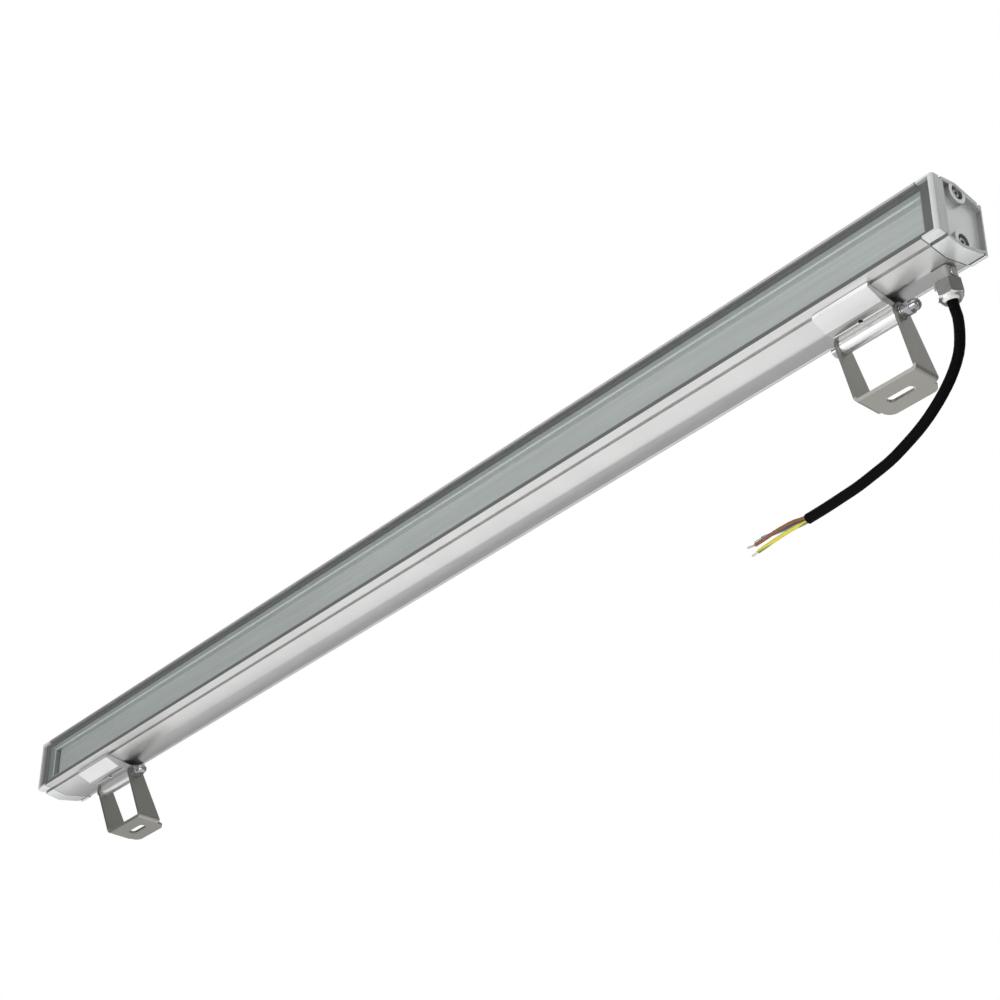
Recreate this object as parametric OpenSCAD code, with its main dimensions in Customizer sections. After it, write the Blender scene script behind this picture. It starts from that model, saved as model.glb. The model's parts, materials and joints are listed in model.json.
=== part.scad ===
// Outdoor linear wall washer light. An extruded housing carries a framed glass window in front
// and its light engine and driver inside. Two clamps slide along the grooves of the housing, and
// each tilts on a bolt in a folded foot that is bolted down through one slot.
// Frame: +X runs along the housing towards the cable gland, the light shines towards -Y, and the
// origin is midway between the two foot slots, on the underside of the feet.

/* [Housing] */
// Overall length over both end caps
length = 1200; // [800:10:1500]
// Depth from the front edge to the flat rear face
depth = 55.2; // [54.6:0.2:58]
// Half height of the front edge
front_half = 25.4; // [25:0.1:25.8]
// Depth of the front strip, up to the front groove
strip_depth = 7.8; // [7.2:0.1:8.2]
// Half height of the front strip where the groove begins
strip_half = 26; // [25.8:0.1:26.4]
// Width of the front groove
groove_w = 2.6; // [2.2:0.1:3]
// Depth of the front groove
groove_deep = 2.6; // [2.2:0.1:2.8]
// Half height just behind the front groove
panel_half = 26.8; // [26.4:0.1:27.4]
// Distance of the widest edge behind the front
kink_depth = 25.7; // [24.5:0.1:27]
// Half height at the widest edge
kink_half = 28.9; // [28.4:0.1:29.6]
// Depth of the rear rail behind the rear groove
rail_t = 3.9; // [3.4:0.1:4.4]
// Half height at the end of the slope
slope_half = 23.5; // [23:0.1:24]
// Width of the rear groove
rear_groove_w = 2; // [1.8:0.1:2.2]
// Depth of the rear groove
rear_groove_deep = 2.9; // [2.5:0.1:3.1]
// Half height of the rear rail of the housing
rail_half = 21.8; // [21.6:0.1:22.4]
// Corner radius of the rear edges
rear_round = 2.4; // [1.6:0.1:3]
// Wall thickness of the driver chamber
wall = 2.8; // [2.4:0.1:3]
// Distance of the mounting web behind the front
web_depth = 26; // [25.6:0.1:26.6]
// Thickness of the mounting web
web_t = 3; // [2.6:0.1:3.4]

/* [Window] */
// Width of the front lips beside the window frame
lip_w = 2.2; // [1.8:0.1:2.4]
// Distance of the window frame behind the front edge
frame_back = 3; // [2.6:0.1:3.2]
// Thickness of the window frame's flange
flange_t = 3; // [2.6:0.1:3.2]
// Width of the window frame's flange beyond its body
flange_w = 1.5; // [1.2:0.1:1.8]
// Visible width of the window frame
bezel_w = 4.4; // [3.8:0.1:4.8]
// Extra width of the window frame at each end
bezel_end = 4.7; // [4:0.1:5.4]
// Thickness of the glass
glass_t = 5; // [4.6:0.1:5.2]
// Thickness of the seal behind the glass
seal_t = 0.5; // [0.4:0.1:0.8]
// Width of the ledge that carries the glass
ledge_w = 2; // [1.6:0.1:2.4]
// Distance of the diffuser behind the front edge
diffuser_depth = 13.5; // [13:0.1:14]
// Thickness of the diffuser
diffuser_t = 2; // [1.5:0.1:2.2]
// Clearance around the glass and the window frame
window_gap = 0.2; // [0.1:0.05:0.25]

/* [Light engine] */
// Number of light boards in the row
board_count = 4; // [2:1:6]
// Height of a light board
board_w = 34; // [28:1:35]
// Thickness of a light board
board_t = 1.6; // [1:0.1:2]
// Gap between neighbouring boards
board_gap = 4; // [3:0.5:6]
// Number of light sources on each board
chip_count = 9; // [5:1:12]
// Side of a light source
chip_w = 3.5; // [2:0.5:5]
// Length of the driver case
driver_len = 260; // [180:10:300]
// Space left behind the driver case
driver_space = 5.4; // [4.6:0.2:8]
// Height of the driver case
driver_h = 32; // [26:1:34]

/* [End caps] */
// Length of each end cap along the housing
cap_len = 15.1; // [14:0.1:18]
// Thickness of the gasket under each end cap
gasket_t = 0.8; // [0.5:0.1:1.2]
// Half height of the rear rail on the end caps
cap_rail_half = 22.9; // [22.6:0.1:23.2]
// Width of the raised rim around the recessed outer face
cap_rim = 2.8; // [2.4:0.1:3.2]
// Depth of the recessed outer face
cap_recess = 4.5; // [4.2:0.1:5]
// Distance of the recess behind the front edge
recess_front = 12; // [11:0.1:13]
// Radius of the fillet at the front of the recess
recess_fillet = 4; // [3:0.1:4.2]
// Radius of the end cap's upright edges
cap_round = 2.5; // [1.5:0.1:2.8]
// Diameter of the raised boss around each screw
screw_boss_d = 18; // [16:0.5:20]
// Distance of the cap screws behind the widest edge
port_back = 2.4; // [2:0.1:2.8]
// Distance of the cap screws inside the widest edge
port_inset = 7.1; // [6.8:0.1:7.6]
// Diameter of the cap screws
cap_screw_d = 4; // [3.5:0.1:4]
// Length of the cap screws below the head
cap_screw_len = 25; // [20:1:35]

/* [Cable gland] */
// Distance of the gland from the right end
gland_inset = 27.4; // [27:0.2:34]
// Side of the square adapter block
block_w = 14; // [14:0.5:16]
// Height of the square adapter block
block_h = 9.5; // [9:0.5:12]
// Thickness of the seal under the adapter block
block_seal_t = 0.8; // [0.5:0.1:1.2]
// Size of the gland nut across its flats
gland_af = 18.5; // [18:0.5:20]
// Height of the gland nut's flats
gland_hex_h = 12; // [11:0.5:13]
// Height of the gland nut's rounded nose
gland_nose_h = 4; // [3:0.5:5]
// Diameter of the cable
cable_d = 8; // [7:0.1:8]
// Diameter of each insulated core
core_d = 3; // [2.4:0.1:3]
// Diameter of the bare conductors
strand_d = 1.8; // [1.2:0.1:2]

/* [Clamps] */
// Length of each clamp along the housing
clamp_len = 53.2; // [40:0.2:53.2]
// Thickness of the clamp at the housing's widest edge
clamp_t = 6.8; // [6.4:0.1:7.4]
// Thickness of the clamp along its front edge
clamp_front_t = 3.4; // [2.6:0.1:4]
// Distance of the clamp's lower corner in front of the widest edge
clamp_corner = 4.6; // [4:0.1:6]
// Width of the clamp's lip in front of the groove
clamp_lip = 0.8; // [0.5:0.1:1.2]
// Depth of the hook's root at the rear groove
clamp_arm_t = 1.6; // [1.4:0.1:2.4]
// Clearance between a clamp and the housing
clamp_gap = 0.3; // [0.25:0.01:0.35]
// Distance of the right clamp from the right end
right_inset = 98; // [96:0.5:150]
// Distance of the left clamp from the left end
left_inset = 96.5; // [60:0.5:150]
// Diameter of the clamp's pivot barrel
barrel_d = 12.5; // [12:0.1:13]
// Distance of the pivot from the slope
pivot_out = 12.2; // [11.8:0.1:13]
// Distance of the setting screw in front of the pivot
grub_front = 11.5; // [10.6:0.1:12]
// Diameter of the setting screw
grub_d = 4; // [3:0.1:4]

/* [Feet] */
// Height of the pivot above the underside of the foot
pivot_height = 44.5; // [40:0.5:60]
// Distance of the slot behind the pivot
slot_back = 25.5; // [24:0.5:28]
// Gap between the two legs of a foot
leg_gap = 53.6; // [53.6:0.1:54.6]
// Thickness of the folded sheet
sheet_t = 2.5; // [2:0.1:2.5]
// Inner radius of the folds
fold_r = 1.5; // [1:0.1:2]
// Radius of the leg's round top
leg_top_r = 8; // [7:0.1:8]
// Distance of the foot's front edge behind the pivot
foot_front = 9.3; // [8:0.1:11]
// Distance of the leg's rear edge behind the pivot, at the foot
leg_rear = 33; // [31:0.5:35]
// Distance of the foot's rear edge behind the pivot
foot_rear = 42; // [40:0.5:46]
// Corner radius of the foot's rear edge
foot_round = 8; // [6:0.5:10]
// Length of the slot from end to end
slot_len = 24.5; // [16:0.5:28]
// Width of the slot
slot_w = 7; // [5:0.1:8]

/* [Pivot hardware] */
// Diameter of the pivot bolt
bolt_d = 6; // [5:0.1:6.4]
// Diameter of the bolt's head
bolt_head_d = 10; // [9:0.1:11]
// Height of the bolt's head
bolt_head_h = 6; // [5:0.1:7]
// Diameter of the flat washer
washer_d = 12; // [11:0.1:13]
// Thickness of the flat washer and the spring washer
washer_t = 1.6; // [1:0.1:2]
// Size of the cap nut across its flats
nut_af = 10; // [10:0.1:11]
// Height of the cap nut's flats
nut_hex_h = 5.5; // [5:0.1:6.5]
// Overall height of the cap nut
nut_h = 13; // [12:0.1:14]
// Diameter of the cap nut's dome
dome_d = 9.5; // [9:0.1:9.8]

/* [Hidden] */
$fn = 64;
cut = 1;
hex_sides = 6;
arc_steps = 6;

// Fits that the pieces share
running_fit = 0.05;
hole_fit = 0.2;
loose_fit = 0.3;

// Places along and across the housing's section, measured from the front edge and the middle
cap_inner = length / 2 - cap_len;
body_len = 2 * (cap_inner - gasket_t);
slope_depth = depth - rail_t - rear_groove_w;
groove_end = strip_depth + groove_w;
groove_floor = strip_half - groove_deep;
rear_groove_end = slope_depth + rear_groove_w;
rear_groove_floor = slope_half - rear_groove_deep;
slope_angle = atan((kink_half - slope_half) / (slope_depth - kink_depth));
slope_len = (slope_depth - kink_depth) / cos(slope_angle);
web_back = web_depth + web_t;
port_depth = kink_depth + port_back;
port_half = kink_half - port_inset;
port_wall = 2.25;
port_boss_d = cap_screw_d + 2 * port_wall;
thin_wall = 1.5;

// Window places
pocket_half = front_half - lip_w;
frame_half = pocket_half - window_gap;
body_half = frame_half - flange_w;
opening_half = frame_half - bezel_w;
glass_half = opening_half - window_gap;
well_half = glass_half - ledge_w;
glass_back = frame_back + glass_t;
ledge_depth = glass_back + seal_t;
frame_end = length / 2 - bezel_end + loose_fit;
frame_end_w = frame_end - (cap_inner + thin_wall);
opening_end = frame_end - frame_end_w;
diffuser_half = well_half + ledge_w - window_gap;
slot_clear = 0.1;
rib_half = diffuser_half + slot_clear + ledge_w;

// Light engine places
board_end_gap = 2;
board_len = (body_len - 2 * board_end_gap - (board_count - 1) * board_gap) / board_count;
board_pitch = board_len + board_gap;
chip_t = 0.8;
link_size = [14, 3, 10];
m3 = 3;
m3_head_d = 5.5;
m3_head_h = 1.8;
m3_len = 4;
driver_d = depth - wall - driver_space - web_back;
driver_tab = [9, 1.5, 16];
gland_x = length / 2 - gland_inset;
gland_along = slope_len / 2;
terminal_run = 38.4;
terminal_x = gland_x - terminal_run;
terminal_size = [24, 12, 24];
terminal_screw_out = 8;
driver_run = 43;
driver_x = terminal_x - terminal_size.x / 2 - driver_run - driver_tab.x - driver_len / 2;
lead_d = 2.4;
lead_pitch = 7;
lead_depth = web_back + driver_d / 3;

// Cap screw sizes
cap_head_d = 7;
cap_head_h = 4;
cap_counterbore_d = 11.5;
cap_seat_deep = 5.2;
boss_drop = 0.5;
cap_hollow_half = 14;

// Gland sizes
spigot_d = 11;
spigot_in = 3;
drill_in = 3.2;
cable_in = 5;
neck_d = 12.5;
neck_h = 6;
gland_bore_d = cable_d + 2 * loose_fit;
block_round = 2;
earth_screw_d = 4;
earth_head_d = 7.6;
earth_head_h = 1.2;
earth_screw_in = 2;
earth_screw_out = 5.6;
block_top = block_seal_t + block_h;
nut_base = block_top + hole_fit;
gland_end = nut_base + gland_hex_h + gland_nose_h;
nose_taper = 3;
nose_round = 1.5;
nose_share = 0.6;
nut_turn = -10;
nut_face_share = 0.96;

// Clamp and foot places
pivot_y = kink_depth + slope_len / 2 * cos(slope_angle) + pivot_out * sin(slope_angle);
pivot_z = -kink_half + slope_len / 2 * sin(slope_angle) - pivot_out * cos(slope_angle);
clamp_floor = -kink_half - clamp_gap - clamp_t;
arm_top = pivot_z + barrel_d / 2 + hole_fit;
right_x = length / 2 - right_inset;
left_x = -length / 2 + left_inset;
score_w = 1;
grub_sink = 1;
arm_foot_share = 0.9;
mouth_share = 1.2;
leg_neck_share = 0.99;
foot_half = leg_gap / 2 + sheet_t;
tab_half = leg_gap / 2 - fold_r - sheet_t / 5;
leg_hole_d = bolt_d + 2 * hole_fit;
nut_side = foot_half + 2 * washer_t;
bolt_in_nut = 8;
spring_ring_w = 2.1;
spring_washer_d = bolt_d + 2 * spring_ring_w;

// Where the housing's middle front line lies in the part's own frame
lamp_at = [-(right_x + left_x) / 2, -pivot_y - slot_back, pivot_height - pivot_z];

// Cable route from the mouth of the gland, and the three cores beyond the end of the sheath
cable_route = [[0.8, 2.3, -11], [0.6, 2.4, -25], [-2.2, 2.5, -40], [-9, 2.5, -53],
    [-18.5, 2.5, -64.5], [-30.5, 2.5, -75], [-42.5, 2.5, -83], [-57, 2.5, -90],
    [-71, 2.5, -95.5], [-86.5, 2.5, -99], [-102, 2.5, -102], [-116.5, 2.5, -103.5],
    [-133, 2.5, -105], [-150, 2.5, -106]];
brown_route = [[-150.5, 1, -105], [-154, 1, -104.6], [-165, 1.4, -102.6],
    [-180, 1.5, -102.8], [-192, 1.5, -104], [-201, 1.5, -104.8]];
blue_route = [[-150.5, 4.25, -105.4], [-154, 4.4, -105], [-165, 5.2, -103],
    [-180, 5.2, -101.2], [-190, 5, -100.2], [-197, 5, -99.6]];
yellow_green_route = [[-150.5, 2.4, -107.9], [-154, 2.3, -108], [-165, 2, -107.8],
    [-180, 2, -109], [-191, 2, -110.2], [-199, 2, -111.2]];
brown_tip = [-209, 1.5, -103.8];
blue_tip = [-205, 5, -99.5];
yellow_green_tip = [-205.5, 2, -112.2];
cable_sides = 12;
core_sides = 8;

// Half height of the panel and slope at a distance behind the front
function half_at(y) = y < kink_depth
    ? kink_half - (kink_half - panel_half) * (kink_depth - y) / (kink_depth - groove_end)
    : kink_half - (y - kink_depth) * tan(slope_angle);

// Closed outline from the points of its upper half
function mirrored(half) = concat(half, [for (i = [len(half) - 1:-1:0]) [half[i].x, -half[i].y]]);

// Points of a round stretch about c, from angle a0 to a1
function arc(c, r, a0, a1) = [for (i = [0:arc_steps])
    let (a = a0 + (a1 - a0) * i / arc_steps) c + r * [cos(a), sin(a)]];

// Point of the section on or off the lower slope
function slope_point(along, out) = [
    kink_depth + along * cos(slope_angle) + out * sin(slope_angle),
    -kink_half + along * sin(slope_angle) - out * cos(slope_angle)];

// Point where a line from p touches the circle of radius r about the origin
function touch_point(p, r, side) =
    let (turn = atan2(p.y, p.x) + side * acos(r / norm(p))) r * [cos(turn), sin(turn)];

// Places of the cap screws in the section
function port_points() = [for (s = [1, -1]) [port_depth, s * port_half]];

// Middle of each light board along the housing
function board_x(i) = (i - (board_count - 1) / 2) * board_pitch;

// Places of the board screws along the housing
function board_screw_points() = [for (i = [0:board_count - 1], s = [-1, 1])
    board_x(i) + s * (board_len / 2 - board_len / chip_count)];

// Unit vectors of a swept tube: the direction at each point, and one side that never twists
function unit(v) = v / norm(v);
function heading(path, i) = unit(path[min(i + 1, len(path) - 1)] - path[max(i - 1, 0)]);
function side_of(d) = unit(cross(d, abs(d.y) < 0.9 ? [0, 1, 0] : [1, 0, 0]));
function ring(path, i, r, sides) =
    let (d = heading(path, i), a = side_of(d), b = cross(d, a))
    [for (k = [0:sides - 1]) path[i] + r * (a * cos(360 * k / sides) + b * sin(360 * k / sides))];

// Round tube along a path, as one closed solid
module tube(path, d, sides) {
    n = len(path);
    points = [for (i = [0:n - 1]) each ring(path, i, d / 2, sides)];
    walls = [for (i = [0:n - 2], k = [0:sides - 1])
        let (a = i * sides + k, b = i * sides + (k + 1) % sides)
        each [[a, b, b + sides], [a, b + sides, a + sides]]];
    first = [[for (k = [sides - 1:-1:0]) k]];
    last = [[for (k = [0:sides - 1]) (n - 1) * sides + k]];
    polyhedron(points, concat(first, walls, last));
}

// Section drawn across the housing, stretched along it and centred at x
module along_x(len, x = 0) {
    translate([x, 0, 0]) rotate([90, 0, 90]) linear_extrude(len, center = true) children();
}

// Block across the section, from depth y0 to y1, to both sides of the middle
module band(y0, y1, half) {
    translate([y0, -half]) square([y1 - y0, 2 * half]);
}

module at_lamp() {
    translate(lamp_at) children();
}

// Origin on the lower slope of the housing, with +Z pointing away from it
module on_slope(x, along) {
    p = slope_point(along, 0);
    translate([x, p.x, p.y]) rotate([180 + slope_angle, 0, 0]) children();
}

// Origin at the pivot of a clamp, with the section's directions
module at_pivot(x) {
    at_lamp() translate([x, pivot_y, pivot_z]) children();
}

// Bar along +X from x0 to x1
module bar_x(x0, x1, d) {
    translate([x0, 0, 0]) rotate([0, 90, 0]) cylinder(h = x1 - x0, d = d);
}

// Outer outline of the section, with grooves above and below
module outline(rail) {
    corner = depth - rear_round;
    polygon(mirrored([[0, front_half], [strip_depth, strip_half], [strip_depth, groove_floor],
        [groove_end, groove_floor], [groove_end, panel_half], [kink_depth, kink_half],
        [slope_depth, slope_half], [slope_depth, rear_groove_floor],
        [rear_groove_end, rear_groove_floor], [rear_groove_end, rail],
        each arc([corner, rail - rear_round], rear_round, 90, 0)]));
}

// Chamber behind the mounting web
module driver_chamber() {
    floor_half = rear_groove_floor - 0.75 * wall;
    knee = slope_depth - 1.5 * wall;
    polygon(mirrored([[web_back, half_at(web_back) - wall], [knee, half_at(knee) - wall],
        [slope_depth - wall / 2, floor_half], [depth - wall, floor_half]]));
}

// Light well, diffuser slot and board chamber in front of the web
module light_chamber() {
    slot_back_y = diffuser_depth + diffuser_t + slot_clear;
    band(ledge_depth - cut, diffuser_depth, well_half);
    band(diffuser_depth - slot_clear, slot_back_y, diffuser_half + slot_clear);
    band(slot_back_y - cut, web_depth, well_half);
    band(slot_back_y + thin_wall, web_depth, groove_floor);
    difference() {
        band(groove_end + thin_wall, web_depth, groove_floor);
        band(0, slot_back_y + thin_wall, rib_half);
    }
}

// Section of the housing, which the end gaskets share
module housing_section(port_d) {
    difference() {
        outline(rail_half);
        band(-cut, frame_back + flange_t + window_gap, pocket_half);
        band(-cut, ledge_depth, body_half + window_gap);
        difference() {
            union() {
                light_chamber();
                driver_chamber();
            }
            for (p = port_points()) translate(p) circle(d = port_boss_d);
        }
        for (p = port_points()) translate(p) circle(d = port_d);
    }
}

module housing() {
    web_hole_d = 2 * lead_d + 2 * hole_fit;
    color("silver") at_lamp() difference() {
        along_x(body_len) housing_section(cap_screw_d + 2 * running_fit);
        for (x = concat(board_screw_points(), driver_screw_points(), terminal_screw_points()))
            translate([x, web_back + cut, 0])
                rotate([90, 0, 0]) cylinder(h = web_t + 2 * cut, d = m3 + 2 * running_fit);
        translate([board_x(board_count / 2) - board_pitch / 2, web_back + cut, 0])
            rotate([90, 0, 0]) cylinder(h = web_t + 2 * cut, d = web_hole_d);
        on_slope(gland_x, gland_along)
            translate([0, 0, -drill_in])
                cylinder(h = drill_in + cut, d = spigot_d + 2 * hole_fit);
    }
}

// Right end cap: rim, recessed face, two raised screw bosses, and a pocket for the window frame
module end_cap() {
    outer = length / 2;
    face = outer - cap_recess;
    seat = outer - boss_drop - cap_seat_deep;
    color("gainsboro") difference() {
        intersection() {
            along_x(cap_len, outer - cap_len / 2) outline(cap_rail_half);
            rounded_plan(outer);
        }
        difference() {
            cap_recess_cut(face);
            for (p = port_points())
                translate([face - cut, p.x, p.y])
                    bar_x(0, cap_recess - boss_drop + cut, screw_boss_d);
        }
        frame_end_cut();
        for (p = port_points()) {
            translate([0, p.x, p.y])
                bar_x(cap_inner - cut, outer + cut, cap_screw_d + 2 * hole_fit);
            intersection() {
                along_x(cap_len, seat + cap_len / 2) recess_outline();
                translate([0, p.x, p.y]) bar_x(seat, outer + cut, cap_counterbore_d);
            }
        }
        along_x(cap_len, cap_inner + cap_len / 2 - cap_recess - cap_rim)
            band(diffuser_depth + diffuser_t + thin_wall, depth - 2 * cap_rim, cap_hollow_half);
    }
}

// Block with rounded upright edges that trims the end cap's outer corners
module rounded_plan(outer) {
    translate([cap_inner - cut, 0, -kink_half - cut]) linear_extrude(2 * (kink_half + cut)) {
        translate([0, cap_round]) square([cap_len + cut, depth - 2 * cap_round]);
        square([cap_len + cut - cap_round, depth]);
        for (y = [cap_round, depth - cap_round])
            translate([cap_len + cut - cap_round, y]) circle(r = cap_round);
    }
}

// Outline of the recess in the outer face
module recess_outline() {
    polygon(mirrored([[recess_front, half_at(recess_front) - cap_rim],
        [kink_depth, kink_half - cap_rim], [slope_depth - cap_rim, rear_groove_floor],
        [depth - cap_rim, rear_groove_floor - cap_rim]]));
}

// Space of the recessed outer face, with a soft fillet along its front
module cap_recess_cut(face) {
    difference() {
        along_x(cap_recess + cut, face + (cap_recess + cut) / 2) recess_outline();
        translate([face, recess_front, -kink_half]) difference() {
            cube([recess_fillet, recess_fillet, 2 * kink_half]);
            translate([recess_fillet, recess_fillet, -cut])
                cylinder(h = 2 * (kink_half + cut), r = recess_fillet);
        }
    }
}

// Pocket in the end cap for the end of the window frame
module frame_end_cut() {
    reach = frame_end + loose_fit;
    translate([cap_inner - cut, -cut, -pocket_half])
        cube([reach - cap_inner + cut, frame_back + flange_t + window_gap + cut,
            2 * pocket_half]);
    translate([cap_inner - cut, -cut, -body_half - window_gap])
        cube([reach - flange_w - cap_inner + cut, ledge_depth + cut,
            2 * (body_half + window_gap)]);
}

module end_cap_right() {
    at_lamp() end_cap();
}

module end_cap_left() {
    at_lamp() mirror([1, 0, 0]) end_cap();
}

// Gasket that repeats the housing's section, with clear holes for the screws
module cap_gasket(side) {
    color("dimgray") at_lamp()
        along_x(gasket_t, side * (cap_inner - gasket_t / 2))
            housing_section(cap_screw_d + 2 * hole_fit);
}

// Socket head screw along +X, its head's seat at the origin
module socket_screw(d, len, head_d, head_h) {
    difference() {
        union() {
            bar_x(0, head_h, head_d);
            bar_x(-len, head_h / 2, d);
        }
        translate([head_h / 2, 0, 0]) rotate([0, 90, 0])
            cylinder(h = head_h, d = 0.8 * d, $fn = hex_sides);
    }
}

module cap_screws() {
    seat = length / 2 - boss_drop - cap_seat_deep;
    color("darkgray") at_lamp() for (side = [0, 1], p = port_points())
        mirror([side, 0, 0]) translate([seat, p.x, p.y])
            socket_screw(cap_screw_d, cap_screw_len, cap_head_d, cap_head_h);
}

// Ring around the window, from y0 to y1, outer and inner half sizes along X and Z
module window_ring(y0, y1, outer, inner) {
    translate([0, y1, 0]) rotate([90, 0, 0]) linear_extrude(y1 - y0) difference() {
        square(2 * outer, center = true);
        square(2 * inner, center = true);
    }
}

module window_frame() {
    opening = [opening_end, opening_half];
    color("dimgray") at_lamp() {
        window_ring(frame_back, frame_back + flange_t, [frame_end, frame_half], opening);
        window_ring(frame_back, glass_back, [frame_end - flange_w, body_half], opening);
    }
}

module glass() {
    color([0.8, 0.9, 0.88, 0.4]) at_lamp()
        translate([0, glass_back, 0]) rotate([90, 0, 0]) linear_extrude(glass_t)
            square(2 * [opening_end - window_gap, glass_half], center = true);
}

module glass_seal() {
    color("white") at_lamp()
        window_ring(glass_back, ledge_depth, [frame_end - flange_w, body_half],
            [cap_inner - gasket_t, well_half]);
}

module diffuser() {
    color("whitesmoke") at_lamp()
        along_x(body_len - 2 * loose_fit)
            band(diffuser_depth, diffuser_depth + diffuser_t, diffuser_half);
}

// Boards of the light row, each drilled for its two screws
module led_boards() {
    color("white") at_lamp() difference() {
        for (i = [0:board_count - 1])
            along_x(board_len, board_x(i)) band(web_depth - board_t, web_depth, board_w / 2);
        for (x = board_screw_points()) translate([x, web_depth + cut, 0])
            rotate([90, 0, 0]) cylinder(h = board_t + 2 * cut, d = m3 + 2 * hole_fit);
    }
}

module led_chips() {
    front = web_depth - board_t;
    color("khaki") at_lamp() for (i = [0:board_count - 1], k = [0:chip_count - 1])
        along_x(chip_w, board_x(i) + (k - (chip_count - 1) / 2) * board_len / chip_count)
            band(front - chip_t, front, chip_w / 2);
}

// Connectors that bridge neighbouring boards
module board_links() {
    front = web_depth - board_t;
    color("ivory") at_lamp() for (i = [1:1:board_count - 1])
        along_x(link_size.x, board_x(i) - board_pitch / 2)
            band(front - link_size.y, front, link_size.z / 2);
}

// Pan head screw along +Y, its head's seat at the origin
module pan_screw(d, len, head_d, head_h) {
    rotate([-90, 0, 0]) cylinder(h = len, d = d);
    difference() {
        rotate([90, 0, 0]) cylinder(h = head_h, d = head_d);
        for (turn = [0, 90]) rotate([0, turn, 0])
            translate([0, -head_h, 0]) cube([0.6 * head_d, head_h, 0.15 * head_d], center = true);
    }
}

module board_screws() {
    color("darkgray") at_lamp() for (x = board_screw_points())
        translate([x, web_depth - board_t, 0]) pan_screw(m3, m3_len, m3_head_d, m3_head_h);
}

function driver_screw_points() =
    [for (s = [-1, 1]) driver_x + s * (driver_len + driver_tab.x) / 2];

// Driver case on the back of the web, with a screw tab at each end
module driver() {
    color("whitesmoke") at_lamp() difference() {
        union() {
            along_x(driver_len, driver_x) band(web_back, web_back + driver_d, driver_h / 2);
            along_x(driver_len + 2 * driver_tab.x, driver_x)
                band(web_back, web_back + driver_tab.y, driver_tab.z / 2);
        }
        for (x = driver_screw_points()) translate([x, web_back + driver_tab.y + cut, 0])
            rotate([90, 0, 0]) cylinder(h = driver_tab.y + 2 * cut, d = m3 + 2 * hole_fit);
    }
}

module driver_screws() {
    color("darkgray") at_lamp() for (x = driver_screw_points())
        translate([x, web_back + driver_tab.y, 0])
            rotate([180, 0, 0]) pan_screw(m3, m3_len, m3_head_d, m3_head_h);
}

function terminal_screw_points() =
    [for (s = [-1, 1]) terminal_x + s * terminal_screw_out];

// Three way terminal block on the back of the web
module terminal_block() {
    color("beige") at_lamp() difference() {
        along_x(terminal_size.x, terminal_x)
            band(web_back, web_back + terminal_size.y, terminal_size.z / 2);
        for (x = terminal_screw_points()) translate([x, 0, 0]) {
            translate([0, web_back - cut, 0]) rotate([-90, 0, 0])
                cylinder(h = terminal_size.y, d = m3 + 2 * hole_fit);
            translate([0, web_back + m3_head_h, 0]) rotate([-90, 0, 0])
                cylinder(h = terminal_size.y, d = m3_head_d + 2 * hole_fit);
        }
    }
}

module terminal_screws() {
    color("darkgray") at_lamp() for (x = terminal_screw_points())
        translate([x, web_back + m3_head_h, 0])
            rotate([180, 0, 0]) pan_screw(m3, m3_len, m3_head_d, m3_head_h);
}

// Leads from the inner end of the cable to the terminal block, side by side
module supply_leads() {
    start = slope_point(gland_along, -cable_in - loose_fit);
    turn = slope_point(gland_along, -cable_in - 2 * cable_d);
    entry = terminal_x + terminal_size.x / 2 + hole_fit;
    pitch = lead_d + hole_fit;
    color("peru") at_lamp() for (k = [-1, 0, 1])
        tube([[gland_x + k * pitch, start.x, start.y],
            [gland_x + k * pitch, turn.x, turn.y + k * pitch],
            [entry + 2 * lead_d, lead_depth, k * lead_pitch],
            [entry, lead_depth, k * lead_pitch]], lead_d, core_sides);
}

// Leads from the terminal block to the driver
module driver_leads() {
    color("peru") at_lamp() for (s = [-1, 1]) translate([0, lead_depth, s * lead_pitch])
        bar_x(driver_x + driver_len / 2, terminal_x - terminal_size.x / 2, lead_d);
}

// Leads from the driver through the web to the middle board connector
module output_leads() {
    seam = board_x(board_count / 2) - board_pitch / 2;
    color("firebrick") at_lamp() for (s = [-1, 1])
        tube([[driver_x - driver_len / 2, lead_depth, s * lead_pitch],
            [seam + 2 * lead_pitch, lead_depth, s * lead_pitch],
            [seam, lead_depth, s * 0.55 * lead_d],
            [seam, web_depth - board_t, s * 0.55 * lead_d]], lead_d, core_sides);
}

module rounded_square(w, r) {
    square([w, w - 2 * r], center = true);
    square([w - 2 * r, w], center = true);
    for (x = [-1, 1], y = [-1, 1]) translate([x, y] * (w / 2 - r)) circle(r = r);
}

// Square adapter: a spigot into the housing, a block, and a neck under the gland nut
module gland_adapter() {
    color("darkgray") at_lamp() on_slope(gland_x, gland_along) difference() {
        union() {
            translate([0, 0, -spigot_in])
                cylinder(h = spigot_in + block_seal_t + cut, d = spigot_d);
            translate([0, 0, block_seal_t]) linear_extrude(block_h)
                rounded_square(block_w, block_round);
            translate([0, 0, block_top - cut]) cylinder(h = neck_h + cut, d = neck_d);
        }
        translate([0, 0, -spigot_in - cut])
            cylinder(h = spigot_in + block_top + neck_h + 2 * cut, d = gland_bore_d);
        translate([0, 0, earth_screw_out])
            bar_x(block_w / 2 - earth_screw_in - hole_fit, block_w,
                earth_screw_d + 2 * running_fit);
    }
}

module gland_base_seal() {
    color("black") at_lamp() on_slope(gland_x, gland_along) linear_extrude(block_seal_t)
        difference() {
            rounded_square(block_w - block_seal_t, block_round);
            circle(d = spigot_d + 2 * hole_fit);
        }
}

// Small screw in the side of the adapter block
module gland_screw() {
    color("silver") at_lamp() on_slope(gland_x, gland_along)
        translate([block_w / 2, 0, earth_screw_out])
            socket_screw(earth_screw_d, earth_screw_in, earth_head_d, earth_head_h);
}

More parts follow.
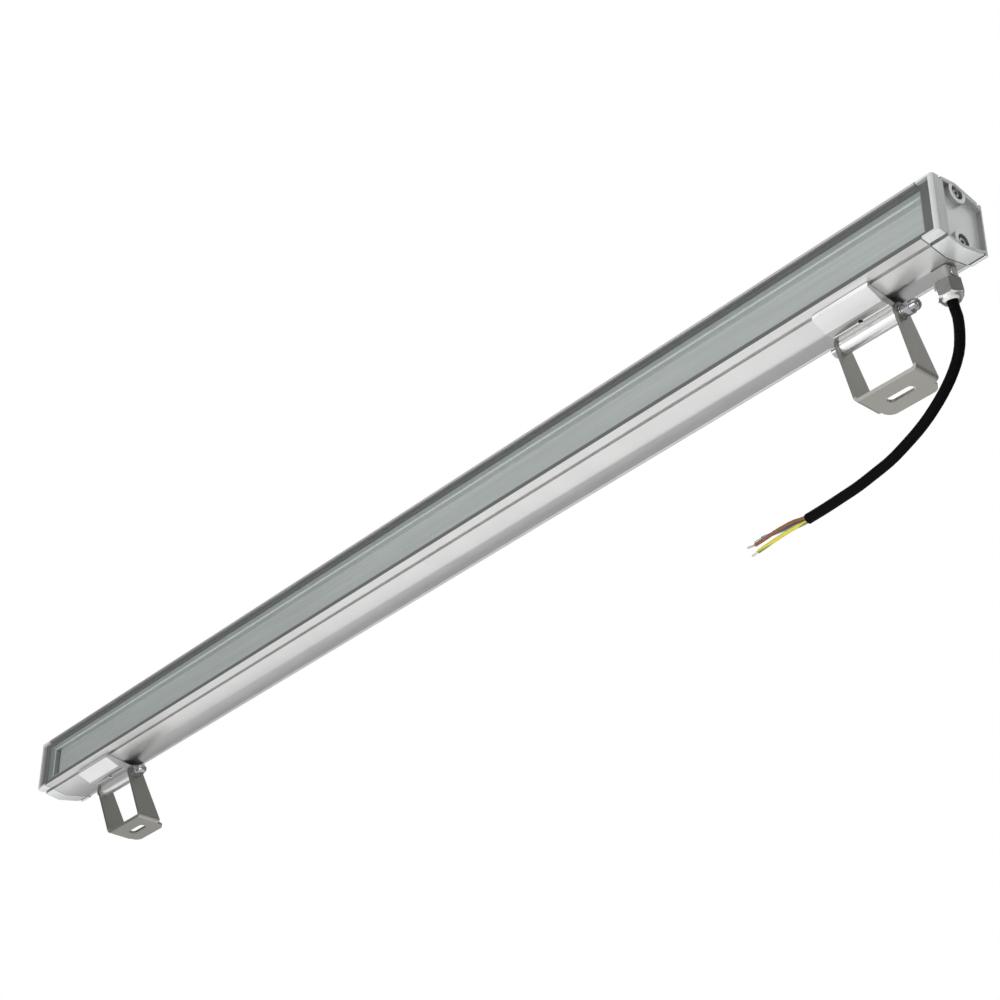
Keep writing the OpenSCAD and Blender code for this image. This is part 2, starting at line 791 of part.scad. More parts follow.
// Hexagon nut with a rounded nose, bored for the neck, the seal and the cable
module gland_nut() {
    flat_r = gland_af / 2;
    corner_r = flat_r / cos(180 / hex_sides);
    face_r = nut_face_share * flat_r;
    wide_r = corner_r + loose_fit;
    chamfer = (wide_r - face_r) / 2;
    nose_r = flat_r - nose_taper;
    nose_z = gland_hex_h + nose_share * gland_nose_h;
    top = gland_hex_h + gland_nose_h;
    color("silver") at_lamp() on_slope(gland_x, gland_along) translate([0, 0, nut_base])
        difference() {
            intersection() {
                rotate([0, 0, nut_turn]) cylinder(h = top, r = corner_r, $fn = hex_sides);
                rotate_extrude() polygon([[0, 0], [face_r, 0], [wide_r, chamfer],
                    [wide_r, gland_hex_h - chamfer], [face_r, gland_hex_h],
                    [nose_r + nose_round, nose_z], [nose_r, top], [0, top]]);
            }
            translate([0, 0, -cut])
                cylinder(h = gland_hex_h + cut, d = neck_d + 2 * hole_fit);
            cylinder(h = top + cut, d = gland_bore_d);
        }
}

// Rubber sleeve that the nut presses round the cable
module gland_seal() {
    base = block_top + neck_h;
    color("black") at_lamp() on_slope(gland_x, gland_along) translate([0, 0, base])
        difference() {
            cylinder(h = nut_base + gland_hex_h - base, d = neck_d);
            translate([0, 0, -cut])
                cylinder(h = gland_hex_h + 2 * cut, d = cable_d + 2 * hole_fit);
        }
}

// Point on the gland's axis in the part's own frame
function gland_point(out) =
    let (p = slope_point(gland_along, out)) lamp_at + [gland_x, p.x, p.y];

module cable_sheath() {
    start = [for (out = [-cable_in, gland_end / 2, gland_end, gland_end + cable_d / 2])
        gland_point(out)];
    below = [for (p = cable_route) gland_point(gland_end) + p];
    color([0.06, 0.06, 0.06]) tube(concat(start, below), cable_d, cable_sides);
}

module core_brown() {
    color("saddlebrown") translate(gland_point(gland_end)) tube(brown_route, core_d, core_sides);
}

module core_blue() {
    color("royalblue") translate(gland_point(gland_end)) tube(blue_route, core_d, core_sides);
}

module core_yellow_green() {
    color("yellow") translate(gland_point(gland_end))
        tube(yellow_green_route, core_d, core_sides);
}

// Bare conductors at the ends of the three cores
module core_tips() {
    ends = [[brown_route, brown_tip], [blue_route, blue_tip],
        [yellow_green_route, yellow_green_tip]];
    color("silver") translate(gland_point(gland_end)) for (e = ends) {
        last = e[0][len(e[0]) - 1];
        tube([last + loose_fit * unit(e[1] - last), e[1]], strand_d, core_sides);
    }
}

// Section of a clamp: a wedge below the panel with a hook in the front groove, and an arm over
// the slope with a hook in the rear groove
module clamp_section() {
    front = strip_depth - clamp_lip;
    hook_front = strip_depth + clamp_gap;
    hook_back = groove_end - clamp_gap;
    rear_front = slope_depth + clamp_gap;
    rear_back = rear_groove_end - clamp_gap;
    rear_top = -rear_groove_floor - clamp_gap;
    slope_end = -slope_half - clamp_gap;
    arm_foot = arm_foot_share * barrel_d / 2;
    polygon([[front, -strip_half - clamp_gap], [hook_front, -strip_half - clamp_gap],
        [hook_front, -groove_floor - clamp_gap], [hook_back, -groove_floor - clamp_gap],
        [hook_back, -half_at(hook_back) - clamp_gap], [kink_depth, -kink_half - clamp_gap],
        [pivot_y, arm_top], [pivot_y + bolt_d / 2, arm_top], [rear_front, slope_end],
        [rear_front, rear_top], [rear_back, rear_top],
        [rear_back, slope_end - clamp_arm_t], [pivot_y + arm_foot, pivot_z],
        [pivot_y, clamp_floor], [kink_depth - clamp_corner, clamp_floor],
        [front, -panel_half - clamp_gap - clamp_front_t]]);
}

// Fine scored line along the clamp, on which the setting screw is drilled
module score_line() {
    y = pivot_y - grub_front;
    polygon([[y - score_w / 2, clamp_floor - clamp_gap],
        [y + score_w / 2, clamp_floor - clamp_gap], [y + score_w / 2, clamp_floor],
        [y, clamp_floor + score_w / 2], [y - score_w / 2, clamp_floor]]);
}

// Origin at the mouth of a clamp's setting screw, with +Z pointing into the clamp
module at_grub(x) {
    translate([x, pivot_y - grub_front, clamp_floor]) children();
}

module clamp(x) {
    mouth_d = mouth_share * grub_d;
    mouth_h = (mouth_d - grub_d) / 2;
    color("white") at_lamp() difference() {
        union() {
            along_x(clamp_len, x) clamp_section();
            translate([x, pivot_y, pivot_z]) bar_x(-clamp_len / 2, clamp_len / 2, barrel_d);
        }
        along_x(clamp_len + 2 * cut, x) score_line();
        translate([x, pivot_y, pivot_z])
            bar_x(-clamp_len, clamp_len, bolt_d + 2 * running_fit);
        at_grub(x) {
            translate([0, 0, -cut])
                cylinder(h = clamp_t + 2 * clamp_gap + cut, d = grub_d + 2 * running_fit);
            translate([0, 0, -mouth_h])
                cylinder(h = 2 * mouth_h, d1 = 2 * mouth_d - grub_d, d2 = grub_d);
        }
    }
}

// Setting screw with a socket, which holds the clamp where it is set
module grub_screw(x) {
    len = clamp_t - grub_sink;
    color("gray") at_lamp() at_grub(x) difference() {
        translate([0, 0, grub_sink]) cylinder(h = len, d = grub_d);
        translate([0, 0, grub_sink - cut])
            cylinder(h = grub_d / 2 + cut, d = grub_d / 2, $fn = hex_sides);
    }
}

// Side view of a foot about its pivot: a leaning leg with a round top, and the foot plate
module foot_side() {
    base = -pivot_height;
    front_foot = [foot_front, base];
    rear_foot = [leg_rear, base + sheet_t];
    neck_r = leg_neck_share * leg_top_r;
    circle(r = leg_top_r);
    polygon([front_foot, [leg_rear, base], rear_foot, touch_point(rear_foot, neck_r, 1), [0, 0],
        touch_point(front_foot, neck_r, -1)]);
    translate(front_foot) square([foot_rear - foot_front, sheet_t]);
}

// End view of a foot: a channel with two rounded folds
module foot_channel() {
    difference() {
        fold_block(foot_half, -pivot_height, leg_top_r, fold_r + sheet_t);
        fold_block(foot_half - sheet_t, -pivot_height + sheet_t, leg_top_r + cut, fold_r);
    }
}

// Upright block, its two lower corners rounded
module fold_block(half, z0, z1, r) {
    translate([-half, z0 + r]) square([2 * half, z1 - z0 - r]);
    translate([-half + r, z0]) square([2 * (half - r), r + cut]);
    for (s = [-1, 1]) translate([s * (half - r), z0 + r]) circle(r = r);
}

// Plan view of a foot: full width under the legs, then a narrower tab with round corners
module foot_plan() {
    corner_y = foot_rear - foot_round;
    translate([-foot_half, -foot_rear]) square([2 * foot_half, leg_rear + foot_rear]);
    translate([-tab_half, 0]) square([2 * tab_half, corner_y]);
    translate([-tab_half + foot_round, 0]) square([2 * (tab_half - foot_round), foot_rear]);
    for (s = [-1, 1]) translate([s * (tab_half - foot_round), corner_y]) circle(r = foot_round);
}

module bracket(x) {
    span = 2 * foot_half + 2 * cut;
    color("darkkhaki") at_pivot(x) difference() {
        intersection() {
            along_x(span) foot_side();
            translate([0, foot_rear + cut, 0]) rotate([90, 0, 0])
                linear_extrude(2 * (foot_rear + cut)) foot_channel();
            translate([0, 0, -pivot_height - cut])
                linear_extrude(pivot_height + leg_top_r + 2 * cut) foot_plan();
        }
        bar_x(-foot_half - cut, foot_half + cut, leg_hole_d);
        translate([0, slot_back, -pivot_height - cut]) linear_extrude(sheet_t + 2 * cut) {
            square([slot_len - slot_w, slot_w], center = true);
            for (s = [-1, 1]) translate([s * (slot_len - slot_w) / 2, 0]) circle(d = slot_w);
        }
    }
}

// Bolt through both legs and the clamp's barrel, its head on the far side from the gland
module pivot_bolt(x) {
    color("silver") at_pivot(x) translate([-foot_half, 0, 0]) mirror([1, 0, 0])
        socket_screw(bolt_d, foot_half + nut_side + bolt_in_nut, bolt_head_d, bolt_head_h);
}

module pivot_washer(x) {
    color("gainsboro") at_pivot(x) difference() {
        bar_x(foot_half, foot_half + washer_t, washer_d);
        bar_x(foot_half - cut, foot_half + washer_t + cut, leg_hole_d);
    }
}

// Spring washer, split at the top
module spring_washer(x) {
    base = foot_half + washer_t;
    color("gray") at_pivot(x) difference() {
        bar_x(base, nut_side, spring_washer_d);
        bar_x(base - cut, nut_side + cut, leg_hole_d);
        translate([base - cut, -washer_t / 4, 0])
            cube([washer_t + 2 * cut, washer_t / 2, spring_washer_d]);
    }
}

// Cap nut: a hexagon with a domed end over a blind hole
module cap_nut(x) {
    dome_at = nut_h - dome_d / 2;
    color("gainsboro") at_pivot(x) translate([nut_side, 0, 0]) difference() {
        union() {
            rotate([0, 90, 0])
                cylinder(h = nut_hex_h, d = nut_af / cos(180 / hex_sides), $fn = hex_sides);
            bar_x(0, dome_at, dome_d);
            translate([dome_at, 0, 0]) rotate([0, 90, 0]) sphere(d = dome_d);
        }
        bar_x(-cut, bolt_in_nut + loose_fit, bolt_d + 2 * running_fit);
    }
}

housing();
end_cap_right();
end_cap_left();
cap_gasket(1);  // cap_gasket_right
cap_gasket(-1);  // cap_gasket_left
cap_screws();
window_frame();
glass();
glass_seal();
diffuser();
led_boards();
led_chips();
board_links();
board_screws();
driver();
driver_screws();
terminal_block();
terminal_screws();
supply_leads();
driver_leads();
output_leads();
gland_adapter();
gland_base_seal();
gland_screw();
gland_nut();
gland_seal();
cable_sheath();
core_brown();
core_blue();
core_yellow_green();
core_tips();
clamp(right_x);  // clamp_right
clamp(left_x);  // clamp_left
grub_screw(right_x);  // grub_screw_right
grub_screw(left_x);  // grub_screw_left
bracket(right_x);  // bracket_right
bracket(left_x);  // bracket_left
pivot_bolt(right_x);  // pivot_bolt_right
pivot_bolt(left_x);  // pivot_bolt_left
pivot_washer(right_x);  // pivot_washer_right
pivot_washer(left_x);  // pivot_washer_left
spring_washer(right_x);  // spring_washer_right
spring_washer(left_x);  // spring_washer_left
cap_nut(right_x);  // cap_nut_right
cap_nut(left_x);  // cap_nut_left
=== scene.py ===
import json
import math

import bmesh
import bpy
from mathutils import Matrix, Vector
from mathutils.bvhtree import BVHTree


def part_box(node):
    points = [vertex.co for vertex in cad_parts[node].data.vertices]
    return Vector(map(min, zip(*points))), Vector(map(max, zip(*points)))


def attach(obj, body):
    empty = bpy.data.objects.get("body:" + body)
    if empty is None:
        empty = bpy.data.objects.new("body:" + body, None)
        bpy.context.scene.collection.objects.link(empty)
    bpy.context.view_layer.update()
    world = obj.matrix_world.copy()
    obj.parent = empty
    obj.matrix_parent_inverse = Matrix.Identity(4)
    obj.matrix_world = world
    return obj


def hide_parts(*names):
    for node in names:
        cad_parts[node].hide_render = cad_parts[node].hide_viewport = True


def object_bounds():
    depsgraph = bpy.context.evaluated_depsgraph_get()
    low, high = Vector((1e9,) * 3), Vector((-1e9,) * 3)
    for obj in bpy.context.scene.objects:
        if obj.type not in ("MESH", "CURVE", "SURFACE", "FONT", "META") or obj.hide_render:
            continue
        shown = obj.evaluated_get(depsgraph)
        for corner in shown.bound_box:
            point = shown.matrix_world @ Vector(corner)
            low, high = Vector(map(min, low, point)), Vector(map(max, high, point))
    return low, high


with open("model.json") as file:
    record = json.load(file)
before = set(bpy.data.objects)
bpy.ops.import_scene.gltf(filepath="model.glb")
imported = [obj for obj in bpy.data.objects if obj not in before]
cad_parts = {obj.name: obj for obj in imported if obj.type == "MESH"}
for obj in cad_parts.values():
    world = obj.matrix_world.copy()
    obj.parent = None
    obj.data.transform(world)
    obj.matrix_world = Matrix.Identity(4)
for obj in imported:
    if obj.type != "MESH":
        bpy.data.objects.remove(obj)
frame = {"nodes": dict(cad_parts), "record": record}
cad_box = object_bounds()

# View: from below the right end of the lamp and about 2 m away, through a long lens that looks up
# at it along its length.
camera_at = Vector((1.31825, -1.07172, -0.91501))
turn_deg = 49.58
lift_deg = 32.11
lens = bpy.data.cameras.new("view")
lens.sensor_width = 36.0
lens.lens = 80.46
lens.clip_start = 0.05
camera = bpy.data.objects.new("view", lens)
camera.location = camera_at
camera.rotation_euler = (math.radians(90 + lift_deg), 0, math.radians(turn_deg))
bpy.context.scene.collection.objects.link(camera)
bpy.context.scene.camera = camera


# Supply cable: a round black rubber sheath, 8 mm across. It leaves the gland straight, falls under
# its own weight and curves back under the lamp, where its three cores are stripped for joining.
def surface(name, colour, rough, metal=0.0, specular=0.5):
    """A material with one colour and gloss all over, before a pattern is laid on it."""
    made = bpy.data.materials.new(name)
    made.use_nodes = True
    shader = made.node_tree.nodes["Principled BSDF"]
    shader.inputs["Base Color"].default_value = (*colour, 1)
    shader.inputs["Roughness"].default_value = rough
    shader.inputs["Metallic"].default_value = metal
    shader.inputs["Specular IOR Level"].default_value = specular
    return made


def lay_on(made, value, socket):
    """Lets a pattern drive one socket of the material's shader."""
    made.node_tree.links.new(value, made.node_tree.nodes["Principled BSDF"].inputs[socket])


def grain(made, per_metre, stretch=(1, 1, 1), detail=4.0):
    """Noise on the piece's own coordinates, in waves to the metre, stretched along its axes."""
    tree = made.node_tree
    place = tree.nodes.new("ShaderNodeTexCoord")
    fit = tree.nodes.new("ShaderNodeMapping")
    noise = tree.nodes.new("ShaderNodeTexNoise")
    fit.inputs["Scale"].default_value = stretch
    noise.inputs["Scale"].default_value = per_metre
    noise.inputs["Detail"].default_value = detail
    tree.links.new(place.outputs["Object"], fit.inputs["Vector"])
    tree.links.new(fit.outputs["Vector"], noise.inputs["Vector"])
    return noise.outputs["Fac"]


def span(made, value, low, high, from_low=0.3, from_high=0.7):
    """The value mapped from its middle range to low and high."""
    tree = made.node_tree
    mapped = tree.nodes.new("ShaderNodeMapRange")
    mapped.inputs["From Min"].default_value = from_low
    mapped.inputs["From Max"].default_value = from_high
    mapped.inputs["To Min"].default_value = low
    mapped.inputs["To Max"].default_value = high
    tree.links.new(value, mapped.inputs["Value"])
    return mapped.outputs["Result"]


def vary_gloss(made, value, low, high):
    """Roughness that follows the value from low to high."""
    lay_on(made, span(made, value, low, high), "Roughness")


def vary_colour(made, value, dark, light, from_low=0.3, from_high=0.7):
    """A colour that follows the value from dark to light."""
    ramp = made.node_tree.nodes.new("ShaderNodeValToRGB")
    ramp.color_ramp.elements[0].position = from_low
    ramp.color_ramp.elements[1].position = from_high
    ramp.color_ramp.elements[0].color = (*dark, 1)
    ramp.color_ramp.elements[1].color = (*light, 1)
    made.node_tree.links.new(value, ramp.inputs["Fac"])
    lay_on(made, ramp.outputs["Color"], "Base Color")


def relief(made, value, height, strength=0.5):
    """Fine surface relief from the value, height in metres."""
    bump = made.node_tree.nodes.new("ShaderNodeBump")
    bump.inputs["Distance"].default_value = height
    bump.inputs["Strength"].default_value = strength
    made.node_tree.links.new(value, bump.inputs["Height"])
    lay_on(made, bump.outputs["Normal"], "Normal")


def round_line(name, points, across):
    """A round cord along its points, as one open curve."""
    curve = bpy.data.curves.new(name, "CURVE")
    curve.dimensions = "3D"
    curve.resolution_u = 6
    curve.bevel_depth = across / 2
    curve.bevel_resolution = 6
    curve.use_fill_caps = True
    line = curve.splines.new("POLY")
    line.points.add(len(points) - 1)
    for knot, point in zip(line.points, points):
        knot.co = (*point, 1)
    line.use_smooth = True
    piece = bpy.data.objects.new(name, curve)
    bpy.context.scene.collection.objects.link(piece)
    return piece


def smooth_route(points, count):
    """Points spread evenly along a smooth line through the given ones."""
    steps = 24
    slack = 1e-9
    ends = [2 * points[0] - points[1], *points, 2 * points[-1] - points[-2]]
    fine = []
    for i in range(1, len(ends) - 2):
        a, b, c, d = ends[i - 1:i + 3]
        for k in range(steps):
            t = k / steps
            fine.append(0.5 * (2 * b + (c - a) * t + (2 * a - 5 * b + 4 * c - d) * t ** 2
                               + (3 * b - a - 3 * c + d) * t ** 3))
    fine.append(points[-1])
    reach = [0.0]
    for start, end in zip(fine, fine[1:]):
        reach.append(reach[-1] + (end - start).length)
    route = []
    for k in range(count):
        goal = reach[-1] * k / (count - 1)
        i = next(j for j in range(1, len(reach)) if reach[j] >= goal - slack)
        share = (goal - reach[i - 1]) / (reach[i] - reach[i - 1])
        route.append(fine[i - 1].lerp(fine[i], share))
    return route


# The gland stands square on the slope behind the lamp's lower panel.
mm = 0.001
slope_rise = 28.9 - 23.5
slope_run = 49.3 - 25.7
slope_angle = math.atan(slope_rise / slope_run)
out_of_slope = Vector((0, math.sin(slope_angle), -math.cos(slope_angle)))
gland_seat = Vector((0.57335, -0.02822, 0.05639))
gland_reach = 26.5 * mm
gland_mouth = gland_seat + out_of_slope * gland_reach


def from_gland(point_mm):
    """A point that is given in millimetres from the mouth of the gland."""
    return gland_mouth + Vector(point_mm) * mm


cable_across = 8 * mm
straight_mm = 4
cable_route_mm = [
    (0.8, 2.3, -11), (0.6, 2.4, -25), (-2.2, 2.5, -40), (-9, 2.5, -53), (-18.5, 2.5, -64.5),
    (-30.5, 2.5, -75), (-42.5, 2.5, -83), (-57, 2.5, -90), (-71, 2.5, -95.5), (-86.5, 2.5, -99),
    (-102, 2.5, -102), (-116.5, 2.5, -103.5), (-133, 2.5, -105), (-150, 2.5, -106)]
cable_start = [gland_mouth, gland_mouth + out_of_slope * straight_mm * mm]
cable_points = smooth_route(cable_start + [from_gland(p) for p in cable_route_mm], 36)
cable = round_line("cable", cable_points, cable_across)
cable_rubber = surface("cable rubber", (0.006, 0.006, 0.006), rough=0.5, specular=0.03)
rubber_grain = grain(cable_rubber, 900)
vary_gloss(cable_rubber, rubber_grain, 0.42, 0.58)
vary_colour(cable_rubber, rubber_grain, (0.003, 0.003, 0.003), (0.006, 0.006, 0.006))
relief(cable_rubber, rubber_grain, 0.05 * mm)
cable.data.materials.append(cable_rubber)
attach(cable, "housing")
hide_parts("cable_sheath")


# Cores: three insulated conductors, brown, blue and striped yellow and green. Their copper strands
# are bared at the ends and tinned, so that each end is one silvery rod with faint ribs.
def shade(colour, factor):
    """The colour made darker by the factor."""
    return tuple(part * factor for part in colour)


def soft_gloss(made):
    """The faint unevenness of soft glossy plastic, and the speckle that it comes from."""
    speckle = grain(made, 1200)
    vary_gloss(made, speckle, 0.28, 0.42)
    relief(made, speckle, 0.03 * mm)
    return speckle


def insulation(name, colour):
    """Soft glossy plastic of one colour."""
    made = surface(name, colour, rough=0.35)
    vary_colour(made, soft_gloss(made), shade(colour, 0.85), colour)
    return made


def striped_insulation(name, yellow, green, start, end):
    """Yellow plastic with a green stripe along the lower side of a core from start to end."""
    made = surface(name, yellow, rough=0.35)
    tree = made.node_tree
    place = tree.nodes.new("ShaderNodeTexCoord")
    along = tree.nodes.new("ShaderNodeMapping")
    parts = tree.nodes.new("ShaderNodeSeparateXYZ")
    fall = math.atan((end.z - start.z) / (end.x - start.x))
    along.inputs["Rotation"].default_value = (0, fall, 0)
    tree.links.new(place.outputs["Object"], along.inputs["Vector"])
    tree.links.new(along.outputs["Vector"], parts.inputs["Vector"])
    level = start.z * math.cos(fall) - start.x * math.sin(fall)
    height = span(made, parts.outputs["Z"], 0, 1, level - mm, level + mm)
    vary_colour(made, height, green, yellow, from_low=0.08, from_high=0.14)
    soft_gloss(made)
    return made


def finish_mesh(mesh, name, smooth_deg=40):
    """The mesh as an object at the origin, smooth except across its sharp edges."""
    for face in mesh.faces:
        face.smooth = True
    for edge in mesh.edges:
        if not edge.is_manifold or edge.calc_face_angle(0) > math.radians(smooth_deg):
            edge.smooth = False
    data = bpy.data.meshes.new(name)
    mesh.to_mesh(data)
    mesh.free()
    piece = bpy.data.objects.new(name, data)
    bpy.context.scene.collection.objects.link(piece)
    return piece


def tinned_tip(name, start, end, across):
    """A tinned rod from start to end, its faint ribs in a right-hand twist and its end rounded."""
    strands = 6
    turns = 1.2
    rib = 0.002
    least_end = 0.2
    length = (end - start).length
    mesh = bmesh.new()
    bmesh.ops.create_cone(mesh, cap_ends=True, segments=36, radius1=across / 2,
                          radius2=across / 2, depth=length)
    sides = [edge for edge in mesh.edges if abs(edge.verts[0].co.z - edge.verts[1].co.z) > mm]
    bmesh.ops.subdivide_edges(mesh, edges=sides, cuts=18)
    for corner in mesh.verts:
        done = 0.5 + corner.co.z / length
        left = length / 2 - corner.co.z
        rounded = math.sqrt(max(least_end ** 2, 1 - max(0, 1 - 2 * left / across) ** 2))
        angle = math.atan2(corner.co.y, corner.co.x) - 2 * math.pi * turns * done
        corner.co.xy *= rounded * (1 - rib + rib * math.cos(strands * angle))
    axis = (end - start).normalized()
    side = axis.cross(Vector((0, 1, 0))).normalized()
    turned = Matrix((side, axis.cross(side), axis)).transposed().to_4x4()
    placed = Matrix.Translation((start + end) / 2) @ turned
    bmesh.ops.transform(mesh, matrix=placed, verts=mesh.verts)
    return finish_mesh(mesh, name, smooth_deg=60)


core_across = 3 * mm
tip_across = 1.9 * mm
core_routes = {
    "brown": [(-150.5, 1, -105), (-154, 1, -104.6), (-165, 1.4, -102.6), (-180, 1.5, -102.8),
              (-192, 1.5, -104), (-201, 1.5, -104.8)],
    "blue": [(-150.5, 4.25, -105.4), (-154, 4.4, -105), (-165, 5.2, -103), (-180, 5.2, -101.2),
             (-190, 5, -100.2), (-197, 5, -99.6)],
    "yellow_green": [(-150.5, 2.4, -107.9), (-154, 2.3, -108), (-165, 2, -107.8),
                     (-180, 2, -109), (-191, 2, -110.2), (-199, 2, -111.2)]}
tip_ends = {"brown": (-209, 1.5, -103.8), "blue": (-205, 5, -99.5),
            "yellow_green": (-205.5, 2, -112.2)}
core_colours = {"brown": (0.27, 0.11, 0.045), "blue": (0.12, 0.20, 0.40),
                "yellow_green": (0.72, 0.66, 0.06)}
stripe_green = (0.20, 0.27, 0.06)
tinned = surface("tinned strands", (0.62, 0.615, 0.60), rough=0.35, metal=1.0)
vary_gloss(tinned, grain(tinned, 1500), 0.3, 0.4)
for colour_name, route_mm in core_routes.items():
    points = smooth_route([from_gland(p) for p in route_mm], 18)
    core = round_line(colour_name + "_core", points, core_across)
    core_colour = core_colours[colour_name]
    if colour_name == "yellow_green":
        sleeve = striped_insulation("striped insulation", core_colour, stripe_green,
                                    points[0], points[-1])
    else:
        sleeve = insulation(colour_name + " insulation", core_colour)
    core.data.materials.append(sleeve)
    tip_end = from_gland(tip_ends[colour_name])
    tip = tinned_tip(colour_name + "_strands", points[-1], tip_end, tip_across)
    tip.data.materials.append(tinned)
    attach(core, "housing")
    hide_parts("core_" + colour_name)
    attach(tip, "housing")
    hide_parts("core_tips")


# Housing: one aluminium extrusion, drawn lengthwise and satin anodised, so its faint die lines
# run along the lamp. Its long edges are just broken, not sharp.
nodes = frame["nodes"]
bodies = frame["record"]["behaviour"]["bodies"]
owner = {node: body for body, members in bodies.items() for node in members}


def softened(node, name, paint, edge_round):
    """A copy of a solid with its outer edges rounded a little, which stands for it."""
    sharp = math.radians(28)
    gentle = math.radians(12)
    narrow = 3 * mm
    mesh = bmesh.new()
    mesh.from_mesh(nodes[node].data)
    bmesh.ops.remove_doubles(mesh, verts=mesh.verts, dist=0.001 * mm)
    bmesh.ops.dissolve_limit(mesh, angle_limit=math.radians(0.05), verts=mesh.verts,
                             edges=mesh.edges)
    # A gentle bend is smooth beside a narrow face, as on a curve, and an edge between broad ones.
    for edge in mesh.edges:
        bend = edge.calc_face_angle(0) if edge.is_manifold else 0
        if gentle < bend <= sharp:
            smaller = min(face.calc_area() for face in edge.link_faces)
            edge.smooth = smaller < narrow * edge.calc_length()
    edges = [edge for edge in mesh.edges if edge.is_manifold and edge.is_convex
             and edge.calc_face_angle(0) > sharp]
    bmesh.ops.bevel(mesh, geom=edges, offset=edge_round, offset_type="OFFSET", segments=2,
                    profile=0.5, affect="EDGES", clamp_overlap=True, material=-1)
    many_sided = [face for face in mesh.faces if len(face.verts) > 4]
    bmesh.ops.triangulate(mesh, faces=many_sided)
    piece = finish_mesh(mesh, name)
    piece.data.materials.clear()
    piece.data.materials.append(paint)
    even = piece.modifiers.new("flat faces stay flat", "WEIGHTED_NORMAL")
    even.keep_sharp = True
    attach(piece, owner[node])
    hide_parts(node)
    return piece


def drawn_metal(name, colour, rough, along, lines, spread, metal=1.0, depth_mm=0.0):
    """Satin metal with faint lines along one axis, as many to the metre as lines says."""
    made = surface(name, colour, rough, metal)
    stretch = [0.01 if axis == along else 1.0 for axis in "XYZ"]
    die_lines = grain(made, lines, stretch, detail=3)
    vary_gloss(made, die_lines, rough - spread, rough + spread)
    vary_colour(made, grain(made, 25, detail=2), shade(colour, 0.94), colour)
    if depth_mm:
        relief(made, die_lines, depth_mm * mm, strength=0.4)
    return made


anodised = drawn_metal("satin anodised extrusion", (0.78, 0.78, 0.775), rough=0.33,
                       along="X", lines=600, spread=0.02, depth_mm=0.001)
extrusion = softened("housing", "extrusion", anodised,
                     edge_round=0.2 * mm)


# End caps: cast aluminium, bead blasted outside, with a ground rim round the recessed outer face
# and duller walls inside the recess, painted darker as shade. Their sides lie flush with the
# extrusion.
def finish_or_shade(piece, paint, picked):
    """Gives the picked faces of a piece a paint of their own: a finish, or painted shade."""
    piece.data.materials.append(paint)
    for face in piece.data.polygons:
        if picked(face):
            face.material_index = len(piece.data.materials) - 1


cap_metal = drawn_metal("blasted cap", (0.93, 0.95, 0.95), rough=0.33, along="X",
                        lines=600, spread=0.03, metal=0.6, depth_mm=0.003)
rim_metal = drawn_metal("ground rim", (0.62, 0.63, 0.625), rough=0.28, along="Z",
                        lines=600, spread=0.03, metal=0.9, depth_mm=0.002)
# Painted shade: a darker copy of the cap metal for the walls deep in each recess, where shade
# falls.
recess_wall_shade = drawn_metal("painted shade recess wall", (0.42, 0.43, 0.43), rough=0.4, along="X",
                         lines=600, spread=0.03, metal=0.6, depth_mm=0.003)
lamp_middle = (cad_box[0][0] + cad_box[1][0]) / 2
outer_face = (cad_box[1][0] - cad_box[0][0]) / 2
rim_depth = 0.2 * mm
screw_seat = outer_face - 5.3 * mm
recess_width = 45 * mm


def from_middle(face):
    """How far along the lamp a face lies from its middle."""
    return abs(face.center.x - lamp_middle)


def on_rim(face):
    """Whether a face is the outermost one of a cap."""
    return abs(face.normal.x) > 0.9 and from_middle(face) > outer_face - rim_depth


def in_recess(face, cap_faces):
    """Whether a face lies deep in the recess, or looks across it at another wall, and so takes
    painted shade.
    """
    if abs(face.normal.x) > 0.5:
        return from_middle(face) < screw_seat
    just_off = face.center + face.normal * 0.1 * mm
    return cap_faces.ray_cast(just_off, face.normal, recess_width)[0] is not None


for side in ("right", "left"):
    cap = softened("end_cap_" + side, "cap_" + side, cap_metal,
                   edge_round=0.45 * mm)
    cap_faces = BVHTree.FromPolygons([corner.co for corner in cap.data.vertices],
                                     [face.vertices for face in cap.data.polygons])
    finish_or_shade(cap, rim_metal, on_rim)
    finish_or_shade(cap, recess_wall_shade, lambda face: in_recess(face, cap_faces))


# Rubber seals: a thin gasket between each cap and the extrusion, the seal under the cable gland
# and the sleeve inside it. All are pressed in place and cut from the same dark rubber.
def coat(node, paint):
    """Gives a solid its finish."""
    data = nodes[node].data
    data.materials.clear()
    data.materials.append(paint)


def matt(name, colour, rough, spread, speckles):
    """Rubber, plastic or lacquer whose roughness varies a little from spot to spot."""
    made = surface(name, colour, rough)
    vary_gloss(made, grain(made, speckles), *spread)
    return made


gasket_rubber = matt("gasket rubber", (0.11, 0.11, 0.11), rough=0.7, spread=(0.6, 0.8),
                     speckles=700)
for node in ("cap_gasket_right", "cap_gasket_left", "gland_base_seal", "gland_seal"):
    coat(node, gasket_rubber)


# Screws: plated steel. Two socket head screws hold each cap over its gasket, and small pan head
# screws hold the boards, the driver and the leads in the terminal block.
def turned_metal(name, colour, rough):
    """Plated or polished metal with a fine turned texture."""
    made = surface(name, colour, rough, metal=1.0)
    vary_gloss(made, grain(made, 1600, detail=5), rough - 0.05, rough + 0.07)
    vary_colour(made, grain(made, 90), shade(colour, 0.8), colour)
    return made


plated = turned_metal("plated screw", (0.50, 0.50, 0.49), rough=0.22)
softened("cap_screws", "cap_screw_set", plated, edge_round=0.25 * mm)
for node in ("board_screws", "driver_screws", "terminal_screws"):
    coat(node, plated)

